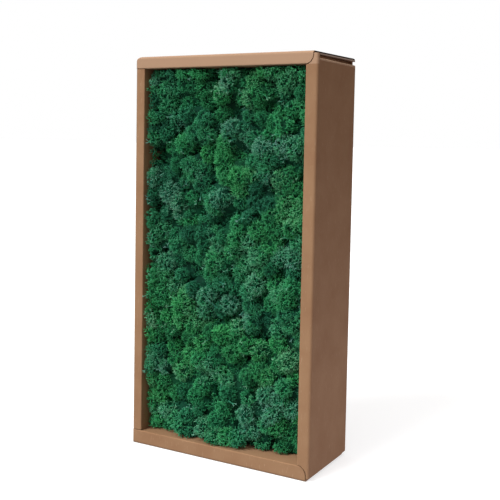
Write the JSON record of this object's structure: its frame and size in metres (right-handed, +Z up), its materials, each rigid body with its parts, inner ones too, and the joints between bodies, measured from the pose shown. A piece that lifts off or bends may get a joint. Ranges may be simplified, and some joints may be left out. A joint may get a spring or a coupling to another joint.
{
  "type": "boxed reindeer moss",
  "caption": "Green reindeer moss packed in an open-fronted tray of folded kraft corrugated board, standing on its short end.",
  "frame": {"origin": "middle of the bottom of the bounding box, on the surface that the tray stands on", "axes": "+Z up along the tray's length, -Y out of the open front, +X to the right as seen from the front"},
  "size_m": [0.204, 0.088, 0.4],
  "materials": {
    "kraft_board": "matte",
    "moss_mid": "matte",
    "moss_bright": "matte",
    "moss_bluish": "matte"
  },
  "bodies": {
    "root": {"corrugated_tray": "kraft_board", "moss_clump_01": "moss_mid", "moss_clump_02": "moss_mid", "moss_clump_03": "moss_mid", "moss_clump_04": "moss_bluish", "moss_clump_05": "moss_bright", "moss_clump_06": "moss_bright", "moss_clump_07": "moss_mid", "moss_clump_08": "moss_mid", "moss_clump_09": "moss_bluish", "moss_clump_10": "moss_bluish", "moss_clump_11": "moss_bluish", "moss_clump_12": "moss_bluish", "moss_clump_13": "moss_mid", "moss_clump_14": "moss_bright", "moss_clump_15": "moss_bluish", "moss_clump_16": "moss_bluish", "moss_clump_17": "moss_bright", "moss_clump_18": "moss_bright", "moss_clump_19": "moss_bluish", "moss_clump_20": "moss_bluish", "moss_clump_21": "moss_bluish", "moss_clump_22": "moss_bright", "moss_clump_23": "moss_mid", "moss_clump_24": "moss_bright", "moss_clump_25": "moss_bluish", "moss_clump_26": "moss_mid", "moss_clump_27": "moss_bluish", "moss_clump_28": "moss_bluish", "moss_clump_29": "moss_mid", "moss_clump_30": "moss_bluish", "moss_clump_31": "moss_mid", "moss_clump_32": "moss_bluish", "moss_clump_33": "moss_mid", "moss_clump_34": "moss_mid", "moss_clump_35": "moss_bluish", "moss_clump_36": "moss_bright", "moss_clump_37": "moss_bluish", "moss_clump_38": "moss_bluish", "moss_clump_39": "moss_bright", "moss_clump_40": "moss_bright", "moss_clump_41": "moss_bright", "moss_clump_42": "moss_bright", "moss_clump_43": "moss_mid", "moss_clump_44": "moss_bright", "moss_clump_45": "moss_bright", "moss_clump_46": "moss_bluish", "moss_clump_47": "moss_mid", "moss_clump_48": "moss_bluish", "moss_clump_49": "moss_mid", "moss_clump_50": "moss_bright", "moss_clump_51": "moss_bluish", "moss_clump_52": "moss_bright", "moss_clump_53": "moss_bluish", "moss_clump_54": "moss_mid", "moss_clump_55": "moss_mid"}
  },
  "joints": []
}
